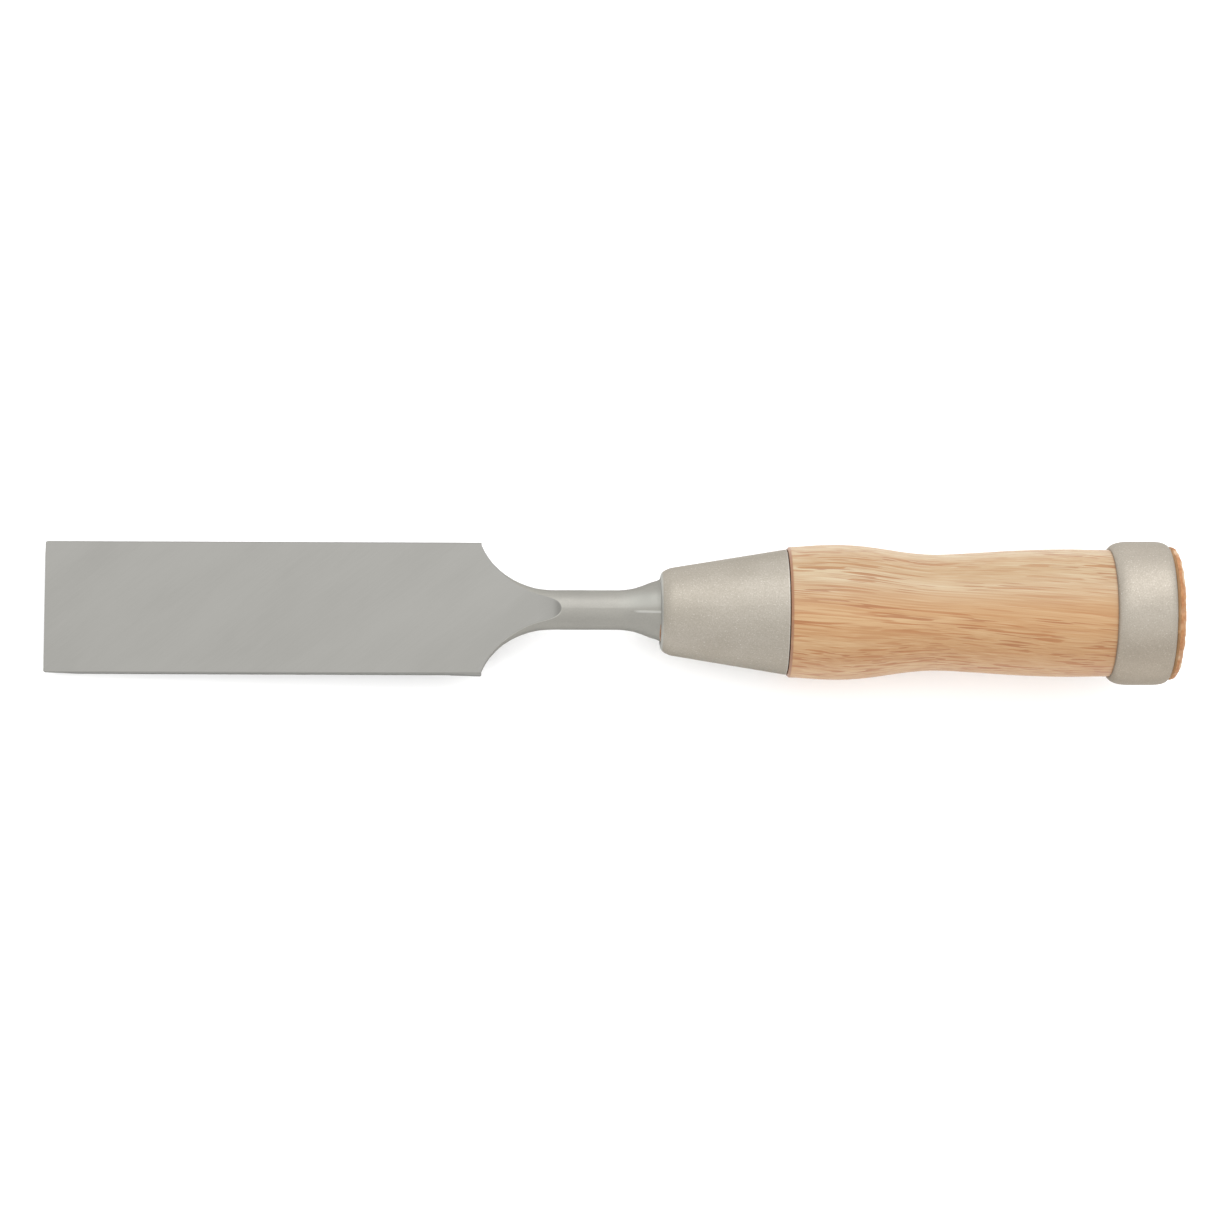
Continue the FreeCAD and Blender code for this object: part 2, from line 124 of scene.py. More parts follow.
# A texture's length along X and width across it, its detail and its roughness
Texture = namedtuple("Texture", "length width detail roughness", defaults=(2.0, 0.5))
METAL_GRIT = Texture(0.34, 0.34, 2.0, 0.6)
METAL_CLOUD = Texture(16, 9, 3.0)
GROUND_SCRATCH = Texture(7, 0.2, 3.0, 0.6)
GROUND_BLOTCH = Texture(30, 10, 3.0)
GROUND_SLANT = math.radians(-38)
FORGED_GRIT = Texture(0.4, 0.4, 3.0, 0.7)
FORGED_CLOUD = Texture(9, 5)
GRAIN_SWAY = Texture(80, 22)
GRAIN_BAND = Texture(90, 6)
GRAIN_STREAK = Texture(55, 2.6)
GRAIN_STROKE = Texture(17, 0.72, 0.0)
GRAIN_FIBRE = Texture(24, 0.4, 2.0, 0.6)
GRAIN_PORE = Texture(12, 0.42, 0.0)
GRAIN_CLUSTER = Texture(30, 4.4, 1.0)
RING_WANDER = Texture(60, 9)
END_MOTTLE = Texture(1.0, 1.1, 4.0, 0.7)
END_PATCH = Texture(3.0, 4.0, 3.0, 0.6)

# The grain's course through the wood
GRAIN_RADIUS = 16.0         # where the grain's pattern has its true size
SWAY_WIDTH = 1.7
RING_PITH = (0, 9, 34)
RING_STRETCH = 0.035        # the rings' size across, divided by their size along X
RING_WANDER_WIDTH = 5.0
RING_SPACING = 3.4

# Covers: the two values of a texture between which a layer's share changes, then the share at each
METAL_COVER = (0.34, 0.66)
GLINT_COVER = (0.64, 0.74, 0.0, 0.6)
GROUND_COVER = (0.32, 0.68)
FORGED_COVER = (0.35, 0.65)
BAND_COVER = (0.36, 0.64)
RING_COVER = (-0.6, 0.9, 0.0, 0.35)
STREAK_COVER = (0.52, 0.68, 0.0, 0.42)
DARK_FIBRE_COVER = (0.5, 0.68, 0.0, 0.45)
PALE_FIBRE_COVER = (0.48, 0.32, 0.0, 0.38)
STROKE_COVER = (0.6, 0.665)
STROKE_CLUSTERS = (0.36, 0.56, 0.4, 0.95)
PORE_COVER = (0.6, 0.67)
PORE_CLUSTERS = (0.42, 0.6, 0.1, 0.8)
END_COVER = (0.36, 0.64)
END_SPECK_COVER = (0.68, 0.76, 0.0, 0.6)
END_TORN_COVER = (0.42, 0.6, 0.25, 0.9)
BURNT_COVER = (0.25, 0.55, 0.7, 1.0)

# The share of the first of two textures mixed into one tone
METAL_GRIT_SHARE = 0.4
SCRATCH_SHARE = 0.35
FORGED_GRIT_SHARE = 0.5

# How strongly a tone or a relief is laid on
EDGE_HIGHLIGHT_SHARE = 0.7
SEAM_HIGHLIGHT_SHARE = 0.85
SCRATCH_RELIEF = 0.15
FIBRE_RELIEF = 0.5

# Roughness, in the covers' form, and relief as (depth in mm, strength)
METAL_ROUGHNESS = (0.3, 0.7, 0.62, 0.52)
GROUND_ROUGHNESS = (0.3, 0.7, 0.42, 0.48)
FORGED_ROUGHNESS = 0.56
WOOD_ROUGHNESS = (0.3, 0.7, 0.42, 0.5)
END_GRAIN_ROUGHER = 0.35
METAL_RELIEF = (0.07, 0.6)
STEEL_RELIEF = (0.05, 0.4)
WOOD_RELIEF = (0.04, 0.35)

# A painted highlight along the ferrule's rim: its width, its fade, and its share of the colour
RIM_HIGHLIGHT_WIDTH = 0.3
RIM_HIGHLIGHT_FADE = 0.25
RIM_HIGHLIGHT_SHARE = 0.75

# Stretches over which a tone comes in, as two places in mm and sometimes the share at each
METAL_SHADE_SIDE = (-1.0, -14.0)                # Y, towards the metal's -Y side, where shade is painted
WOOD_LIT_TO_SHADED = (6.5, -3.0)            # Y, on the wood, from its painted lit side to its painted shaded side
NOSE_HIGHLIGHT_STRETCH = (0.7, 0.2, 0.0, 0.8)    # X from the ferrule's mouth, for the painted highlight on the nose
RUNOUT_CLIMB = (0.3, 0.8, 0.0, 0.6)     # height of the run-out, for painted shade
EDGE_HEIGHT = (-0.22, -0.1)             # height over the ground back, for the painted highlight on the edge
EDGE_SIDE = (0.0, -1.5)                 # Y
FLARE_ALONG = (137.0, 145.0)            # X, for the painted highlight on the flare
FLARE_RISE = (-0.5, 1.5)                # Y
FLARE_FALL = (5.2, 2.6, 0.0, 0.6)       # Y
SEAM_HALF_WIDTH = (0.42, 0.14)
GROUND_HEIGHT = (-0.06, -0.02)          # height over the ground back
BURNT_FRONT = (0.8, 0.4)                # X from the front shoulder
BURNT_REAR_IN = (-0.45, -0.05, 0.0, 0.35)   # X from the hoop's front
BURNT_REAR_OUT = (0.6, 0.3)
END_RIM_OUT = (16.2, 15.8)              # radius
END_RIM_IN = (13.4, 14.6)
END_LIT = (1.0, 0.3, 0.0, 0.85)         # X from the hoop's rear, for painted light just behind the hoop
END_START = (0.05, 0.35)
END_ROUGH_START = (0.2, 0.6)

# What base colours are multiplied by
EDGE_TINT = (0.5, 0.5, 0.5, 1.0)        # metal at a glancing angle
# Painted shade: the ferrule and hoop darker and warmer towards their -Y side
FERRULE_SHADE_TINT = (0.98, 0.97, 0.96, 1.0)
HOOP_SHADE_TINT = (0.95, 0.915, 0.875, 1.0)
WOOD_LIT_TINT = (0.765, 0.80, 0.785, 1.0)  # painted light and shade: the wood is paler on its lit +Y side and more orange on its shaded -Y side
WOOD_SHADED_TINT = (0.84, 0.725, 0.57, 1.0)
WOOD_GLOSS = 0.55

# Colours, as sRGB values from 0 to 255 under the studio's light
FERRULE_TONES = ((187, 180, 167), (197, 190, 178))
HOOP_TONES = ((188, 180, 167), (198, 190, 177))
GLINT_TONE = (236, 231, 222)
# Painted highlights on the ferrule's rim and on its nose
RIM_HIGHLIGHT_TONE = (226, 222, 213)
NOSE_HIGHLIGHT_TONE = (220, 221, 216)
GROUND_TONES = ((162, 161, 156), (168, 167, 162))
# Painted shade on the run-out
RUNOUT_SHADE_TONE = (128, 127, 122)
FORGED_TONES = ((172, 170, 163), (180, 178, 170))
# Painted highlights on the forging's edge, on the flare and along the seam
EDGE_HIGHLIGHT_TONE = (206, 205, 198)
FLARE_HIGHLIGHT_TONE = (200, 200, 193)
SEAM_HIGHLIGHT_TONE = (214, 213, 207)
BAND_TONES = ((212, 174, 130), (223, 194, 156))
RING_TONE = (208, 164, 116)
STREAK_TONE = (200, 152, 102)
DARK_FIBRE_TONE = (194, 146, 98)
PALE_FIBRE_TONE = (232, 208, 174)
STROKE_TONE = (192, 136, 84)
PORE_TONE = (180, 120, 70)
BURNT_TONE = (158, 110, 76)
END_TONES = ((166, 108, 62), (190, 134, 84))
END_SPECK_TONE = (134, 88, 56)
END_TORN_TONE = (214, 184, 150)
# Painted light just behind the hoop
END_LIT_TONE = (244, 192, 138)


def tool_frame(record):
    """The tool's own frame, as a matrix into the row frame."""
    mounts = {mount["name"]: mount for mount in record["mounts"]}
    neck = mounts["rack_neck"]
    up = Vector(neck["axis"]).normalized()
    across = Vector((0, 1, 0))
    along = across.cross(up)
    turn = Matrix((along, across, up)).transposed()
    neck_place = Vector((NECK_MOUNT_X, SHANK_OFFSET, 0.0)) * MM
    origin = Vector(neck["pos_m"]) - turn @ neck_place
    return Matrix.Translation(origin) @ turn.to_4x4()


# Colours

def srgb(red, green, blue):
    """A linear colour from 0 to 255 sRGB values."""
    def linear(value):
        share = value / 255
        if share <= 0.04045:
            return share / 12.92
        return ((share + 0.055) / 1.055) ** 2.4
    return (linear(red), linear(green), linear(blue), 1.0)


def seen(tone):
    """The base colour that looks like this sRGB tone under the studio's light."""
    colour = srgb(*tone)
    return tuple(channel / STUDIO_LEVEL for channel in colour[:3]) + (1.0,)


# Node helpers

def add_node(tree, kind, settings=None, inputs=None):
    """Adds a node; inputs maps socket names or numbers to values or to output sockets."""
    new = tree.nodes.new(kind)
    for name, value in (settings or {}).items():
        setattr(new, name, value)
    for name, value in (inputs or {}).items():
        socket = new.inputs[name]
        if isinstance(value, bpy.types.NodeSocket):
            tree.links.new(value, socket)
        else:
            socket.default_value = value
    return new


def calc(tree, operation, first, second=0.0):
    """One Math node."""
    return add_node(tree, "ShaderNodeMath", {"operation": operation}, {0: first, 1: second}).outputs[0]


def times(tree, first, second):
    return calc(tree, "MULTIPLY", first, second)


def ramp(tree, value, low, high, start=0.0, end=1.0):
    """Maps low..high smoothly to start..end."""
    new = add_node(tree, "ShaderNodeMapRange", {"interpolation_type": "SMOOTHSTEP"},
                   {"Value": value, "From Min": low, "From Max": high, "To Min": start, "To Max": end})
    return new.outputs["Result"]


def ramp_from(tree, value, origin, stretch):
    """A ramp whose two places are counted from an origin."""
    low, high = stretch[:2]
    return ramp(tree, value, origin + low, origin + high, *stretch[2:])


def mix_colour(tree, share, first, second, blend="MIX"):
    new = add_node(tree, "ShaderNodeMix", {"data_type": "RGBA", "blend_type": blend},
                   {0: share, 6: first, 7: second})
    return new.outputs[2]


def blended(tree, first, second, share):
    """Two texture values mixed, with this share of the first."""
    return calc(tree, "ADD", times(tree, first, share), times(tree, second, 1 - share))


def tool_coordinates(tree, frame_matrix):
    """Object coordinates turned into the tool's own frame, in millimetres."""
    back = frame_matrix.inverted()
    source = add_node(tree, "ShaderNodeTexCoord")
    mapping = add_node(tree, "ShaderNodeMapping", None, {
        "Vector": source.outputs["Object"],
        "Location": back.to_translation() / MM,
        "Rotation": back.to_euler(),
        "Scale": (1 / MM, 1 / MM, 1 / MM),
    })
    return mapping.outputs[0]


def tool_axes(tree, place):
    """The three tool coordinates as separate values."""
    split = add_node(tree, "ShaderNodeSeparateXYZ", None, {0: place})
    return split.outputs[0], split.outputs[1], split.outputs[2]


def stretched(tree, coordinates, texture, lean=0.0):
    """Coordinates divided by a texture's sizes, after a turn about Z, for a noise of scale 1."""
    turned = add_node(tree, "ShaderNodeMapping", None, {"Vector": coordinates, "Rotation": (0, 0, lean)})
    scaled = add_node(tree, "ShaderNodeMapping", None, {
        "Vector": turned.outputs[0],
        "Scale": (1 / texture.length, 1 / texture.width, 1 / texture.width),
    })
    return scaled.outputs[0]


def noise_value(tree, coordinates, texture, lean=0.0):
    new = add_node(tree, "ShaderNodeTexNoise", None, {
        "Vector": stretched(tree, coordinates, texture, lean), "Scale": 1.0,
        "Detail": texture.detail, "Roughness": texture.roughness,
    })
    return new.outputs["Fac"]


def bumped(tree, height, relief):
    depth, strength = relief
    inputs = {"Height": height, "Distance": depth * MM, "Strength": strength}
    return add_node(tree, "ShaderNodeBump", None, inputs).outputs[0]


# Materials

def new_material(name):
    material = bpy.data.materials.new(name)
    material.use_nodes = True
    tree = material.node_tree
    shader = tree.nodes["Principled BSDF"]
    return material, tree, shader


def make_metal(shader):
    shader.inputs["Metallic"].default_value = 1.0
    shader.inputs["Specular Tint"].default_value = EDGE_TINT


def blasted_metal(name, frame_matrix, tones, shade_tint):
    """Fine blasted plated steel: a soft sparkle of grains about a third of a millimetre wide, and
    painted shade towards its -Y side.
    """
    material, tree, shader = new_material(name)
    place = tool_coordinates(tree, frame_matrix)
    grit = noise_value(tree, place, METAL_GRIT)
    cloud = noise_value(tree, place, METAL_CLOUD)
    tone = blended(tree, grit, cloud, METAL_GRIT_SHARE)
    colour = mix_colour(tree, ramp(tree, tone, *METAL_COVER), seen(tones[0]), seen(tones[1]))
    glint = ramp(tree, grit, *GLINT_COVER)
    colour = mix_colour(tree, glint, colour, seen(GLINT_TONE))
    # Painted shade towards the metal's -Y side
    _, y, _ = tool_axes(tree, place)
    painted_side_light = mix_colour(tree, ramp(tree, y, *METAL_SHADE_SIDE), WHITE, shade_tint)
    colour = mix_colour(tree, 1.0, colour, painted_side_light, "MULTIPLY")
    tree.links.new(colour, shader.inputs["Base Color"])
    make_metal(shader)
    tree.links.new(ramp(tree, grit, *METAL_ROUGHNESS), shader.inputs["Roughness"])
    tree.links.new(bumped(tree, grit, METAL_RELIEF), shader.inputs["Normal"])
    return material


def add_tone_along(material, frame_matrix, stretch, tone):
    """Lays a tone over the material's colour along a stretch of X."""
    tree = material.node_tree
    shader = tree.nodes["Principled BSDF"]
    x, _, _ = tool_axes(tree, tool_coordinates(tree, frame_matrix))
    share = ramp(tree, x, *stretch)
    base = shader.inputs["Base Color"].links[0].from_socket
    tree.links.new(mix_colour(tree, share, base, seen(tone)), shader.inputs["Base Color"])


def ferrule_metal(frame_matrix, fits):
    """Blasted metal, with a painted highlight along the rim and where the nose turns in to the mouth."""
    material = blasted_metal("ferrule_metal", frame_matrix, FERRULE_TONES, FERRULE_SHADE_TINT)
    # Painted highlight: a pale band just inside the ferrule's rim
    highlight_from = fits["shoulder"] - RIM_HIGHLIGHT_WIDTH
    rim = (highlight_from - RIM_HIGHLIGHT_FADE, highlight_from, 0.0, RIM_HIGHLIGHT_SHARE)
    add_tone_along(material, frame_matrix, rim, RIM_HIGHLIGHT_TONE)
    # Painted highlight where the ferrule's nose turns in to the mouth
    low, high, start, end = NOSE_HIGHLIGHT_STRETCH
    nose = (fits["mouth_x"] + low, fits["mouth_x"] + high, start, end)
    add_tone_along(material, frame_matrix, nose, NOSE_HIGHLIGHT_TONE)
    return material


def above_the_runout(tree, x, z):
    """Height above the flat back and the run-out that climbs from it, and the climb itself."""
    ahead = calc(tree, "MAXIMUM", calc(tree, "SUBTRACT", x, RUNOUT_START), 0.0)
    ahead = calc(tree, "MINIMUM", ahead, RUNOUT_RADIUS - 0.1)
    square = calc(tree, "SUBTRACT", RUNOUT_RADIUS ** 2, times(tree, ahead, ahead))
    climb = calc(tree, "SUBTRACT", RUNOUT_RADIUS, calc(tree, "SQRT", square))
    height = calc(tree, "SUBTRACT", calc(tree, "SUBTRACT", z, BACK_HEIGHT), climb)
    return height, climb


def seam_line(tree, x, y, z):
    """1 along the crest of the forging seam on the flare's upper side, and 0 elsewhere."""
    from_crest = calc(tree, "ADD", calc(tree, "SUBTRACT", y, SHANK_OFFSET),
                      times(tree, z, math.tan(SEAM_ANGLE)))
    across = ramp(tree, calc(tree, "ABSOLUTE", from_crest), *SEAM_HALF_WIDTH)
    along = ramp(tree, x, SEAM_START, SEAM_START + SEAM_FADE)
    return times(tree, times(tree, across, along), ramp(tree, z, 0.0, 1.0))


def ground_steel(name, frame_matrix):
    """The blade's ground faces, and the blasted fan, neck and flare behind them."""
    material, tree, shader = new_material(name)
    place = tool_coordinates(tree, frame_matrix)
    x, y, z = tool_axes(tree, place)
    scratch = noise_value(tree, place, GROUND_SCRATCH, GROUND_SLANT)
    blotch = noise_value(tree, place, GROUND_BLOTCH, GROUND_SLANT)
    tone = blended(tree, scratch, blotch, SCRATCH_SHARE)
    dark, light = GROUND_TONES
    ground = mix_colour(tree, ramp(tree, tone, *GROUND_COVER), seen(dark), seen(light))
    height, climb = above_the_runout(tree, x, z)
    # Painted shade where the run-out climbs from the flat back
    ground = mix_colour(tree, ramp(tree, climb, *RUNOUT_CLIMB), ground, seen(RUNOUT_SHADE_TONE))
    grit = noise_value(tree, place, FORGED_GRIT)
    cloud = noise_value(tree, place, FORGED_CLOUD)
    forged_tone = blended(tree, grit, cloud, FORGED_GRIT_SHARE)
    dark, light = FORGED_TONES
    forged = mix_colour(tree, ramp(tree, forged_tone, *FORGED_COVER), seen(dark), seen(light))
    # Painted highlight along the forging's -Y edge beside the flat back
    edge_highlight = times(tree, ramp(tree, height, *EDGE_HEIGHT), ramp(tree, y, *EDGE_SIDE))
    forged = mix_colour(tree, times(tree, edge_highlight, EDGE_HIGHLIGHT_SHARE), forged, seen(EDGE_HIGHLIGHT_TONE))
    # Painted highlight on the flare's upper side
    flare_highlight = times(tree, ramp(tree, x, *FLARE_ALONG), ramp(tree, y, *FLARE_RISE))
    flare_highlight = times(tree, flare_highlight, ramp(tree, y, *FLARE_FALL))
    forged = mix_colour(tree, flare_highlight, forged, seen(FLARE_HIGHLIGHT_TONE))
    # Painted highlight along the crest of the forging seam
    seam_highlight = times(tree, seam_line(tree, x, y, z), SEAM_HIGHLIGHT_SHARE)
    forged = mix_colour(tree, seam_highlight, forged, seen(SEAM_HIGHLIGHT_TONE))
    is_back = ramp(tree, height, *GROUND_HEIGHT)
    is_blade = ramp(tree, x, SHOULDER_X + SHOULDER_FADE, SHOULDER_X)
    is_ground = calc(tree, "MAXIMUM", is_back, is_blade)
    tree.links.new(mix_colour(tree, is_ground, forged, ground), shader.inputs["Base Color"])
    make_metal(shader)
    ground_rough = ramp(tree, blotch, *GROUND_ROUGHNESS)
    smoother = times(tree, is_ground, calc(tree, "SUBTRACT", ground_rough, FORGED_ROUGHNESS))
    tree.links.new(calc(tree, "ADD", smoother, FORGED_ROUGHNESS), shader.inputs["Roughness"])
    relief = mix_colour(tree, is_ground, grit, times(tree, scratch, SCRATCH_RELIEF))
    tree.links.new(bumped(tree, relief, STEEL_RELIEF), shader.inputs["Normal"])
    return material


def grain_coordinates(tree, place):
    """Tool coordinates flattened over the swells, so that streaks run on, and gently warped."""
    x, y, z = tool_axes(tree, place)
    square = calc(tree, "ADD", times(tree, y, y), times(tree, z, z))
    flatten = calc(tree, "POWER", calc(tree, "DIVIDE", GRAIN_RADIUS ** 2, square), 0.5)
    flat = add_node(tree, "ShaderNodeCombineXYZ", None, {
        0: x, 1: times(tree, y, flatten), 2: times(tree, z, flatten),
    })
    sway = add_node(tree, "ShaderNodeTexNoise", None, {
        "Vector": stretched(tree, place, GRAIN_SWAY), "Scale": 1.0, "Detail": 0.0,
    })
    shifted = add_node(tree, "ShaderNodeVectorMath", {"operation": "SUBTRACT"},
                       {0: sway.outputs["Color"], 1: (0.5, 0.5, 0.5)})
    scaled = add_node(tree, "ShaderNodeVectorMath", {"operation": "MULTIPLY"},
                      {0: shifted.outputs[0], 1: (0, SWAY_WIDTH, SWAY_WIDTH)})
    warped = add_node(tree, "ShaderNodeVectorMath", {"operation": "ADD"},
                      {0: flat.outputs[0], 1: scaled.outputs[0]})
    return warped.outputs[0]


def growth_rings(tree, grain):
    """A wave of the distance from the far pith, for bands, and arches where the rings graze."""
    lean = add_node(tree, "ShaderNodeMapping", None, {
        "Vector": grain, "Rotation": (0, 0, GRAIN_LEAN),
        "Location": RING_PITH, "Scale": (RING_STRETCH, 1, 1),
    })
    distance = add_node(tree, "ShaderNodeVectorMath", {"operation": "LENGTH"}, {0: lean.outputs[0]})
    wander = noise_value(tree, grain, RING_WANDER)
    rings = calc(tree, "ADD", distance.outputs["Value"], times(tree, wander, RING_WANDER_WIDTH))
    return calc(tree, "SINE", times(tree, rings, 2 * math.pi / RING_SPACING))


def end_grain(tree, place, x, y, z, hoop_end, colour):
    """Darker, mottled end grain behind the hoop, with pale torn fibres on its rim and painted light
    where it meets the hoop.
    """
    radius_square = calc(tree, "ADD", times(tree, y, y), times(tree, z, z))
    radius = calc(tree, "SQRT", radius_square)
    mottle = noise_value(tree, place, END_MOTTLE)
    patch = noise_value(tree, place, END_PATCH)
    dark, light = END_TONES
    end = mix_colour(tree, ramp(tree, mottle, *END_COVER), seen(dark), seen(light))
    end = mix_colour(tree, ramp(tree, mottle, *END_SPECK_COVER), end, seen(END_SPECK_TONE))
    rim = times(tree, ramp(tree, radius, *END_RIM_OUT), ramp(tree, radius, *END_RIM_IN))
    torn = times(tree, rim, ramp(tree, patch, *END_TORN_COVER))
    end = mix_colour(tree, torn, end, seen(END_TORN_TONE))
    # Painted light just behind the hoop, where the wood would lie in shade
    end = mix_colour(tree, ramp_from(tree, x, hoop_end, END_LIT), end, seen(END_LIT_TONE))
    return mix_colour(tree, ramp_from(tree, x, hoop_end, END_START), colour, end)


def burnt_edges(tree, x, streak, shoulder_x, hoop_start):
    """The share of scorched colour at the front shoulder and, fainter, at the hoop."""
    front = ramp_from(tree, x, shoulder_x, BURNT_FRONT)
    rear = times(tree, ramp_from(tree, x, hoop_start, BURNT_REAR_IN),
                 ramp_from(tree, x, hoop_start, BURNT_REAR_OUT))
    burnt = calc(tree, "MAXIMUM", front, rear)
    ragged = ramp(tree, streak, *BURNT_COVER)
    return times(tree, burnt, ragged)


def lacquered_wood(name, frame_matrix, fits):
    """Turned light hardwood: growth rings, streaks, pores, burnt shoulders and torn end grain."""
    material, tree, shader = new_material(name)
    hoop_start, hoop_end = fits["hoop"]
    place = tool_coordinates(tree, frame_matrix)
    x, y, z = tool_axes(tree, place)
    grain = grain_coordinates(tree, place)
    rings = growth_rings(tree, grain)
    layers = (GRAIN_BAND, GRAIN_STREAK, GRAIN_STROKE, GRAIN_FIBRE, GRAIN_PORE, GRAIN_CLUSTER)
    band, streak, stroke, fibre, pore, cluster = (
        noise_value(tree, grain, layer, GRAIN_LEAN) for layer in layers)
    colour = mix_colour(tree, ramp(tree, band, *BAND_COVER), seen(BAND_TONES[0]), seen(BAND_TONES[1]))
    colour = mix_colour(tree, ramp(tree, rings, *RING_COVER), colour, seen(RING_TONE))
    colour = mix_colour(tree, ramp(tree, streak, *STREAK_COVER), colour, seen(STREAK_TONE))
    colour = mix_colour(tree, ramp(tree, fibre, *DARK_FIBRE_COVER), colour, seen(DARK_FIBRE_TONE))
    colour = mix_colour(tree, ramp(tree, fibre, *PALE_FIBRE_COVER), colour, seen(PALE_FIBRE_TONE))
    strokes = times(tree, ramp(tree, stroke, *STROKE_COVER), ramp(tree, cluster, *STROKE_CLUSTERS))
    colour = mix_colour(tree, strokes, colour, seen(STROKE_TONE))
    deep = times(tree, ramp(tree, pore, *PORE_COVER), ramp(tree, cluster, *PORE_CLUSTERS))
    colour = mix_colour(tree, deep, colour, seen(PORE_TONE))
    # Painted light and shade: paler on the lit +Y side, more orange on the shaded -Y side
    painted_side_light = mix_colour(tree, ramp(tree, y, *WOOD_LIT_TO_SHADED), WOOD_LIT_TINT, WOOD_SHADED_TINT)
    colour = mix_colour(tree, 1.0, colour, painted_side_light, "MULTIPLY")
    colour = end_grain(tree, place, x, y, z, hoop_end, colour)
    burnt = burnt_edges(tree, x, streak, fits["shoulder"], hoop_start)
    colour = mix_colour(tree, burnt, colour, seen(BURNT_TONE))
    tree.links.new(colour, shader.inputs["Base Color"])
    is_end = ramp_from(tree, x, hoop_end, END_ROUGH_START)
    rough = calc(tree, "ADD", ramp(tree, fibre, *WOOD_ROUGHNESS), times(tree, is_end, END_GRAIN_ROUGHER))
    tree.links.new(rough, shader.inputs["Roughness"])
    shader.inputs["Specular IOR Level"].default_value = WOOD_GLOSS
    relief = calc(tree, "SUBTRACT", times(tree, fibre, FIBRE_RELIEF), deep)
    tree.links.new(bumped(tree, relief, WOOD_RELIEF), shader.inputs["Normal"])
    return material


# Floor, lights and camera

def add_floor():
    bpy.ops.mesh.primitive_plane_add(size=FLOOR_SIZE, location=(0, 0, 0))
    floor = bpy.context.object
    floor.name = "floor"
    material, _, shader = new_material("floor_pale")
    shader.inputs["Base Color"].default_value = FLOOR_COLOUR
    shader.inputs["Roughness"].default_value = FLOOR_ROUGHNESS
    shader.inputs["Specular IOR Level"].default_value = FLOOR_GLOSS
    floor.data.materials.append(material)


def aimed(location, target, roll=0.0):
    """A matrix at location that looks at target, with +Y of the row frame up."""
    back = (location - target).normalized()
    side = Vector((0, 1, 0)).cross(back).normalized()
    up = back.cross(side)
    turn = Matrix((side, up, back)).transposed().to_4x4()
    return Matrix.Translation(location) @ turn @ Matrix.Rotation(roll, 4, "Z")


def add_sky():
    """A soft white sky that is dimmer near the horizon, and a little more so on the -Y side."""
    world = bpy.data.worlds.new("studio")
    world.use_nodes = True
    tree = world.node_tree
    background = tree.nodes["Background"]
    background.inputs["Color"].default_value = WHITE
    direction = add_node(tree, "ShaderNodeTexCoord")
    facing = add_node(tree, "ShaderNodeVectorMath", {"operation": "DOT_PRODUCT"},
                      {0: direction.outputs["Generated"], 1: SKY_BRIGHT_SIDE})
    level = ramp(tree, facing.outputs["Value"], *SKY_RISE, SKY_LOW, SKY_OVERHEAD)
    tree.links.new(level, background.inputs["Strength"])
    bpy.context.scene.world = world


def add_key_light():
    """A broad soft light above the far side, aimed at the tool's middle."""
    data = bpy.data.lights.new("key", "AREA")
    data.shape = "RECTANGLE"
    data.size, data.size_y = KEY_SIZE
    data.energy = KEY_POWER
    data.color = KEY_COLOUR
    light = bpy.data.objects.new("key", data)
    light.matrix_world = aimed(Vector(KEY_PLACE), Vector((0, 0, 0)))
    bpy.context.scene.collection.objects.link(light)


def add_camera(frame_matrix):
    data = bpy.data.cameras.new("camera")
    data.lens = CAMERA_LENS
    data.sensor_width = CAMERA_SENSOR
    data.clip_start = CAMERA_NEAR
    direction = Vector((-math.tan(CAMERA_TOWARDS_EDGE), -math.tan(CAMERA_TOWARDS_SIDE), 1)).normalized()
    aim = Vector(CAMERA_TARGET) * MM
    place = frame_matrix @ (aim + direction * CAMERA_DISTANCE)
    camera = bpy.data.objects.new("camera", data)
    camera.matrix_world = aimed(place, frame_matrix @ aim, CAMERA_ROLL)
    bpy.context.scene.collection.objects.link(camera)
    bpy.context.scene.camera = camera


# The CAD pieces, measured

def tool_points(node, frame_matrix):
    """A CAD node's vertices in mm of the tool's own frame."""
    flat = np.empty(len(node.data.vertices) * 3)
    node.data.vertices.foreach_get("co", flat)
    points = flat.reshape(-1, 3)
    back = np.array(frame_matrix.inverted())
    return (points @ back[:3, :3].T + back[:3, 3]) / MM


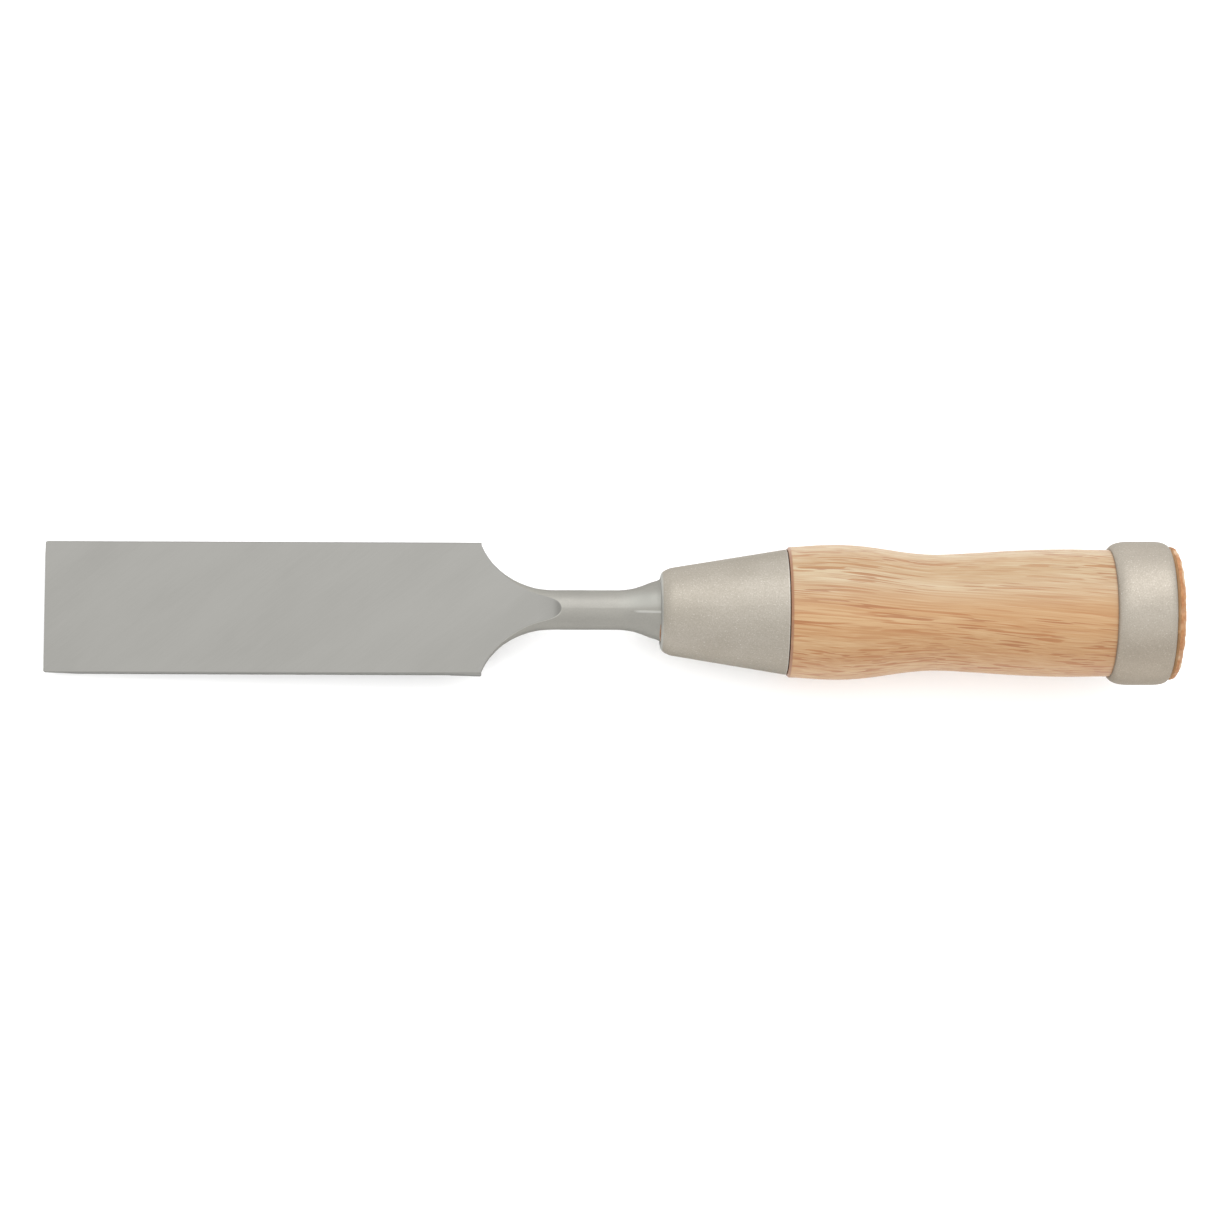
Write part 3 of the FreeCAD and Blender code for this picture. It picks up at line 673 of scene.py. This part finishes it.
def wood_fits(frame_matrix, nodes):
    """Where the wood meets the other pieces, in mm, read from the CAD nodes.

    The wood's cone starts where the handle first grows clear of the ferrule's mouth, and its
    shoulder where the handle first reaches the ferrule's rim.
    """
    handle = tool_points(nodes["handle"], frame_matrix)
    ferrule = tool_points(nodes["ferrule"], frame_matrix)
    hoop = tool_points(nodes["hoop"], frame_matrix)
    blade = tool_points(nodes["blade"], frame_matrix)
    handle_radii = np.hypot(handle[:, 1], handle[:, 2])
    ferrule_radii = np.hypot(ferrule[:, 1], ferrule[:, 2])
    hoop_radii = np.hypot(hoop[:, 1], hoop[:, 2])
    mouth_x = ferrule[:, 0].min()
    rim_x = ferrule[:, 0].max()
    at_mouth = np.abs(blade[:, 0] - mouth_x) < OUTLINE_MARGIN
    shank_radii = np.hypot(blade[at_mouth, 1] - SHANK_OFFSET, blade[at_mouth, 2])
    behind_mouth = (handle[:, 0] > mouth_x + NOSE_SLICE[0]) & (handle[:, 0] < mouth_x + NOSE_SLICE[1])
    return {
        "mouth_x": mouth_x,
        "mouth_radius": ferrule_radii.min(),
        "nose": handle[handle_radii > ferrule_radii.min() + 1, 0].min(),
        "nose_radius": handle_radii[behind_mouth].max() - HIDDEN_CLEARANCE,
        "rim_radius": ferrule_radii[ferrule[:, 0] > rim_x - 0.01].min() - HIDDEN_CLEARANCE,
        "shoulder": handle[handle_radii > ferrule_radii.max() - 0.3, 0].min(),
        "hoop": (hoop[:, 0].min(), hoop[:, 0].max()),
        "seat_radius": hoop_radii.min() - HIDDEN_CLEARANCE,
        "tang_end": blade[:, 0].max(),
        "shank_radius": shank_radii.max(),
    }


def outline_of(points, start, end):
    """The largest radius at each hundredth of a millimetre of a turned piece that has vertices."""
    radii = np.hypot(points[:, 1], points[:, 2])
    outer = (points[:, 0] > start) & (points[:, 0] < end) & (radii > TURNED_RADIUS)
    places = np.round(points[outer, 0], 2)
    found = {}
    for place, radius in zip(places, radii[outer]):
        found[place] = max(found.get(place, 0.0), radius)
    stations = np.array(sorted(found))
    return stations, np.array([found[place] for place in stations])


def smooth_outline(stations, radii, wanted):
    """A cubic through the outline's stations, so that the turned grip has no facets."""
    slopes = np.gradient(radii, stations)
    index = np.clip(np.searchsorted(stations, wanted) - 1, 0, len(stations) - 2)
    width = stations[index + 1] - stations[index]
    share = np.clip((wanted - stations[index]) / width, 0, 1)
    first = radii[index] * (1 + 2 * share) * (1 - share) ** 2
    second = radii[index + 1] * share ** 2 * (3 - 2 * share)
    lean = width * share * (1 - share) * (slopes[index] * (1 - share) - slopes[index + 1] * share)
    return first + second + lean


# The turned wood

def eased(value, low, high):
    """Rises smoothly from 0 at low to 1 at high."""
    share = min(max((value - low) / (high - low), 0.0), 1.0)
    return share * share * (3 - 2 * share)


def grain_groove(x, y, z):
    """Depth in mm of the open pores and fibres at a point of the grip."""
    leaned = y + x * math.tan(GRAIN_LEAN)
    length, width = PORE_SIZE
    pore = noise.noise(Vector((x / length, leaned / width, z / width)))
    length, width = SWELL_SIZE
    swell = noise.noise(Vector((x / length, leaned / width, z / width + SWELL_PLACE)))
    return GROOVE_DEPTH * (PORE_SHARE * eased(pore, *PORE_OPENING) + SWELL_SHARE * (swell + 1))


def torn_butt(x, y, z, radius, rim_radius, hoop_end):
    """Inward wear in mm of the end grain at a point of the butt, as (along X, towards the axis)."""
    rough = noise.fractal(Vector((y / BUTT_GRAIN, z / BUTT_GRAIN, BUTT_GRAIN_PLACE)), *BUTT_FRACTAL)
    along = BUTT_ROUGHNESS * (0.5 + 0.5 * max(min(rough, 1.0), -1.0))
    around = math.atan2(y, z)
    round_rim = (math.cos(around) * RIM_CHIPS, math.sin(around) * RIM_CHIPS)
    chip = noise.noise(Vector((*round_rim, x / RIM_CHIP_LENGTH)))
    near_rim = eased(radius, rim_radius - RIM_TEAR_REACH, rim_radius)
    off_hoop = eased(x, hoop_end + BESIDE_HOOP[0], hoop_end + BESIDE_HOOP[1])
    return along * off_hoop, RIM_TEAR * off_hoop * near_rim * eased(chip, *RIM_CHIP_OPENING)


def worn(x, y, z, radius, surface, rim_radius, hoop_end):
    """A point of the wood after its grooves and tears, which only ever take wood away."""
    if surface == "grip":
        share = 1 - grain_groove(x, y, z) / radius
        return Vector((x, y * share, z * share))
    if surface == "butt":
        along, inward = torn_butt(x, y, z, radius, rim_radius, hoop_end)
        share = 1 - inward / radius
        return Vector((x - along, y * share, z * share))
    return Vector((x, y, z))


def hidden_front(fits, shoulder_radius):
    """The outline of the tang's hole, the cone inside the ferrule and the shoulder's face."""
    return [
        (fits["tang_end"] + TANG_END_GAP, TANG_HOLE[1], "plain"),
        (fits["nose"], TANG_HOLE[0], "plain"),
        (fits["nose"], fits["nose_radius"], "plain"),
        (fits["shoulder"], fits["rim_radius"], "plain"),
        (fits["shoulder"], shoulder_radius - FACE_EDGE, "plain"),
    ]


def butt_profile(points, hoop_end):
    """The outline of the butt's rounded rim, and of the low dome that closes it."""
    butt_end = points[:, 0].max()
    rim_x, rim_radii = outline_of(points, hoop_end + OUTLINE_MARGIN, butt_end - OUTLINE_MARGIN)
    on_rim = rim_radii > rim_radii.max() - BUTT_RIM_DEPTH
    rim_x, rim_radii = rim_x[on_rim], rim_radii[on_rim]
    profile = [(place, radius, "butt") for place, radius in zip(rim_x, rim_radii)]
    for step in range(1, BUTT_RINGS):
        share = 1 - step / BUTT_RINGS
        dome = (butt_end - rim_x[-1]) * (1 - share ** 2)
        profile.append((rim_x[-1] + dome, rim_radii[-1] * share, "butt"))
    return profile


def wood_profile(points, fits):
    """The turned wood's outline, as (x, radius, surface) from the tang's tip round to the butt."""
    hoop_start, hoop_end = fits["hoop"]
    stations, radii = outline_of(points, fits["shoulder"] + OUTLINE_MARGIN, hoop_start + 0.01)
    grip_x = np.linspace(stations[0], stations[-1], GRIP_RINGS)
    grip_radii = smooth_outline(stations, radii, grip_x)
    profile = hidden_front(fits, radii[0])
    profile += [(place, radius, "grip") for place, radius in zip(grip_x, grip_radii)]
    profile += [(hoop_start, fits["seat_radius"], "plain"), (hoop_end, fits["seat_radius"], "plain")]
    return profile + butt_profile(points, hoop_end)


def lathe(profile, hoop_end):
    """Points and faces of the closed turned surface, before the sliver."""
    rim_radius = max(radius for _, radius, surface in profile if surface == "butt")
    points = []
    for x, radius, surface in profile:
        for segment in range(GRIP_SEGMENTS):
            around = 2 * math.pi * segment / GRIP_SEGMENTS
            y, z = radius * math.sin(around), radius * math.cos(around)
            points.append(worn(x, y, z, radius, surface, rim_radius, hoop_end))
    faces = []
    for ring in range(len(profile) - 1):
        for segment in range(GRIP_SEGMENTS):
            following = (segment + 1) % GRIP_SEGMENTS
            low, high = ring * GRIP_SEGMENTS, (ring + 1) * GRIP_SEGMENTS
            faces.append((low + segment, low + following, high + following, high + segment))
    first, last = len(points), len(points) + 1
    points.append(Vector((profile[0][0], 0, 0)))
    end_ring = (len(profile) - 1) * GRIP_SEGMENTS
    end_x = sum(point.x for point in points[end_ring:end_ring + GRIP_SEGMENTS]) / GRIP_SEGMENTS
    points.append(Vector((end_x, 0, 0)))
    for segment in range(GRIP_SEGMENTS):
        following = (segment + 1) % GRIP_SEGMENTS
        faces.append((first, following, segment))
        faces.append((last, end_ring + segment, end_ring + following))
    return points, faces


def sliver_points(fits):
    """A ragged sliver of wood squeezed out between the shank and the ferrule's mouth."""
    points = []
    outer = fits["mouth_radius"] - SLIVER_FIT[1]
    back = fits["nose"] + SLIVER_ROOT
    for step in range(SLIVER_STEPS + 1):
        share = step / SLIVER_STEPS
        angle = math.radians(SLIVER_ANGLES[0] + share * (SLIVER_ANGLES[1] - SLIVER_ANGLES[0]))
        wave = noise.noise(Vector((share * SLIVER_WAVES, SLIVER_PLACE, 0)))
        ragged = SLIVER_RAGGED[0] + SLIVER_RAGGED[1] * wave
        front = fits["mouth_x"] - SLIVER_REACH * ragged * math.sin(math.pi * share) ** SLIVER_TAPER
        inner = fits["shank_radius"] + SLIVER_FIT[0] - SHANK_OFFSET * math.sin(angle)
        for x, radius in ((front, inner), (front + SLIVER_BEVEL, outer), (back, outer), (back, inner)):
            points.append(Vector((x, -radius * math.sin(angle), radius * math.cos(angle))))
    return points


def sliver_faces(start):
    """The four long faces of the sliver and its two ends, whose points begin at start."""
    faces = []
    for step in range(SLIVER_STEPS):
        first = start + 4 * step
        for corner in range(4):
            following = (corner + 1) % 4
            faces.append((first + corner, first + following, first + 4 + following, first + 4 + corner))
    last = start + 4 * SLIVER_STEPS
    faces.append((start + 3, start + 2, start + 1, start))
    faces.append((last, last + 1, last + 2, last + 3))
    return faces


def add_wood(frame_matrix, nodes, fits):
    """The turned wood as one closed lathe mesh, open grained and worn, with the mouth's sliver."""
    profile = wood_profile(tool_points(nodes["handle"], frame_matrix), fits)
    points, faces = lathe(profile, fits["hoop"][1])
    faces += sliver_faces(len(points))
    points += sliver_points(fits)
    mesh = bpy.data.meshes.new("turned_wood")
    mesh.from_pydata([frame_matrix @ (point * MM) for point in points], [], faces)
    shape = bmesh.new()
    shape.from_mesh(mesh)
    bmesh.ops.recalc_face_normals(shape, faces=shape.faces)
    shape.to_mesh(mesh)
    shape.free()
    mesh.shade_smooth()
    mesh.set_sharp_from_angle(angle=SHARP_EDGE)
    wood = bpy.data.objects.new("turned_wood", mesh)
    bpy.context.scene.collection.objects.link(wood)
    mesh.materials.append(lacquered_wood("handle_wood", frame_matrix, fits))
    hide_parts("handle")
    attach(wood, "root")


def dress(node, material):
    node.data.materials.clear()
    node.data.materials.append(material)


with open("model.json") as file:
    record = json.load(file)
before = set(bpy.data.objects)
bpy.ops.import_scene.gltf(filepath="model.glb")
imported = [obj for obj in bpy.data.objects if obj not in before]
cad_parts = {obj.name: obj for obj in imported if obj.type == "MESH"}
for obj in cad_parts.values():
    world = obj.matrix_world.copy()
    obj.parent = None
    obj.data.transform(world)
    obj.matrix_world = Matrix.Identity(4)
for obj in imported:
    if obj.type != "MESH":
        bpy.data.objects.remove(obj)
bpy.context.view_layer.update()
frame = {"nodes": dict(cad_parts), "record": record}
tool = tool_frame(frame["record"])
nodes = frame["nodes"]
fits = wood_fits(tool, nodes)

dress(nodes["ferrule"], ferrule_metal(tool, fits))
dress(nodes["hoop"], blasted_metal("hoop_metal", tool, HOOP_TONES, HOOP_SHADE_TINT))
dress(nodes["blade"], ground_steel("blade_steel", tool))
add_wood(tool, nodes, fits)

add_floor()
add_sky()
add_key_light()
add_camera(tool)
bpy.context.scene.view_settings.view_transform = "Standard"
